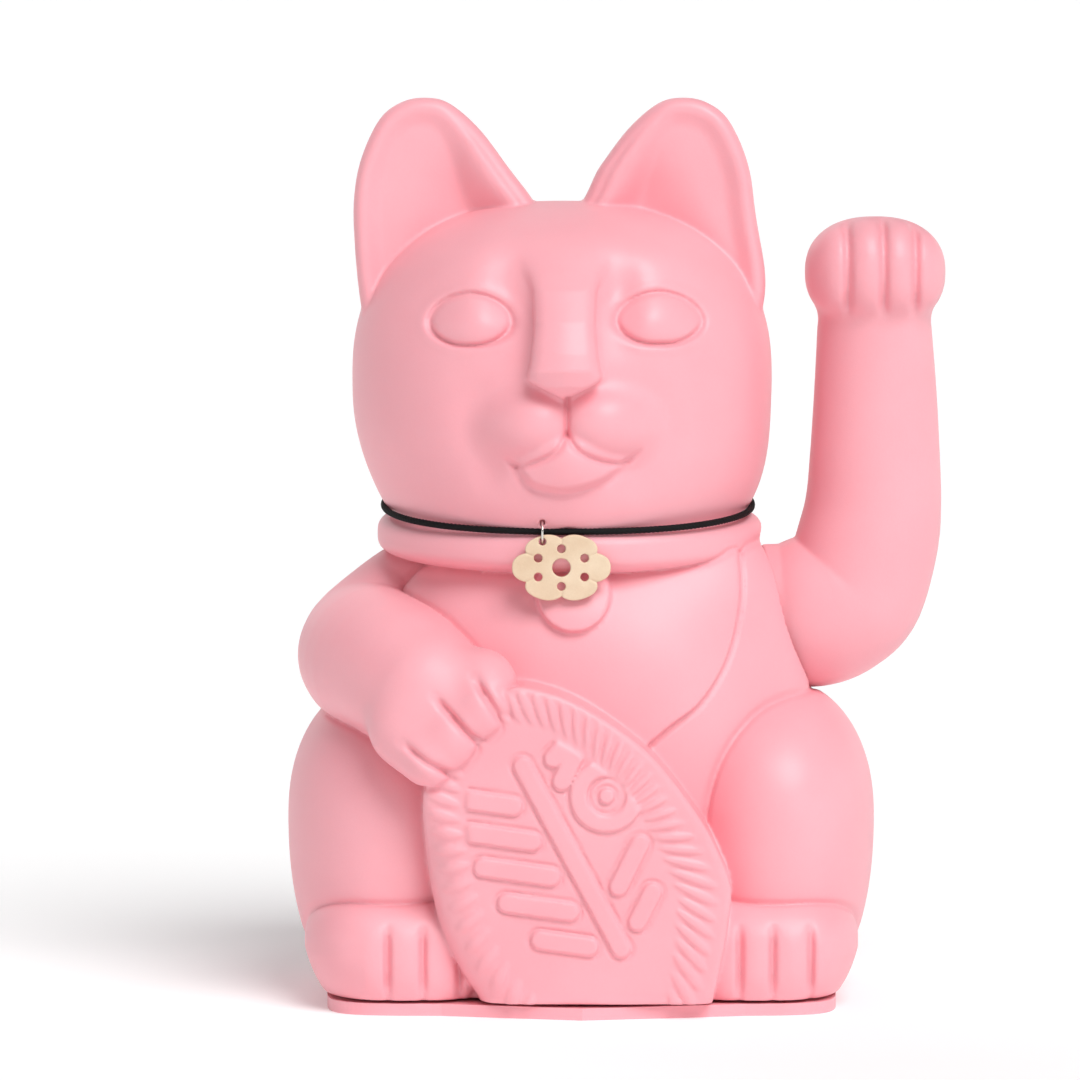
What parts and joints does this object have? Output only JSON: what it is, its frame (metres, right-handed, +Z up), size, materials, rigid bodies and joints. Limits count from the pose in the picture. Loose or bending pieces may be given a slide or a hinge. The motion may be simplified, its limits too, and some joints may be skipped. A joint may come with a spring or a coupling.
{
  "type": "beckoning cat figurine",
  "caption": "Hollow seated cat figurine with a rocking raised arm driven by a coil and pendulum, a coin on its belly, a cord and pendant round its neck, and a battery base.",
  "frame": {"origin": "centre of the base plate's flat underside, on the surface the cat stands on", "axes": "+Z up, the cat faces -Y, its raised arm is at +X"},
  "size_m": [0.1099, 0.0811, 0.15],
  "materials": {
    "pink_abs": "matte",
    "black_cord": "matte",
    "cream_plastic": "satin",
    "steel": "satin",
    "nickel": "polished",
    "white_pom": "satin",
    "weight_steel": "satin",
    "bronze": "satin",
    "copper": "satin",
    "board_green": "satin",
    "black_plastic": "matte",
    "red_lead": "satin",
    "cell_jacket": "satin"
  },
  "bodies": {
    "body": {"front_shell": "pink_abs", "rear_shell": "pink_abs", "base_plate": "pink_abs", "neck_cord": "black_cord", "cord_knot": "black_cord", "pivot_frame": "white_pom", "bearing_bush_left": "bronze", "bearing_bush_right": "bronze", "coil_bobbin": "white_pom", "coil_winding": "copper", "aa_cell": "cell_jacket", "contact_plate": "nickel", "contact_spring": "nickel", "circuit_board": "board_green", "driver_chip": "black_plastic", "capacitor": "black_plastic", "switch_body": "black_plastic", "lead_red": "red_lead", "lead_black": "black_plastic", "lead_coil": "copper", "base_screw_1": "steel", "base_screw_2": "steel", "base_screw_3": "steel", "base_screw_4": "steel", "frame_screw_front": "steel", "frame_screw_rear": "steel"},
    "arm": {"arm_front_half": "pink_abs", "arm_rear_half": "pink_abs", "arm_hub": "white_pom", "pivot_axle": "steel", "axle_collar_left": "nickel", "axle_collar_right": "nickel", "pendulum_lever": "white_pom", "pendulum_magnet": "nickel", "counterweight": "weight_steel"},
    "door": {"battery_door": "pink_abs"},
    "switch": {"switch_knob": "white_pom"},
    "pendant": {"pendant_ring": "nickel", "flower_pendant": "cream_plastic"}
  },
  "joints": [
    {"name": "arm_swing", "type": "hinge", "parent": "body", "child": "arm", "pos_m": [0.0345, 0.002, 0.0645], "axis": [1, 0, 0], "range_deg": [-18, 18]},
    {"name": "battery_door_slide", "type": "slide", "parent": "body", "child": "door", "axis": [0, 1, 0], "range_m": [0, 0.03]},
    {"name": "switch_slide", "type": "slide", "parent": "body", "child": "switch", "axis": [1, 0, 0], "range_m": [0, 0.0045]},
    {"name": "pendant_lift", "type": "hinge", "parent": "body", "child": "pendant", "pos_m": [-0.0065, -0.02825, 0.0793], "axis": [-1, 0, 0], "range_deg": [0, 60]}
  ]
}
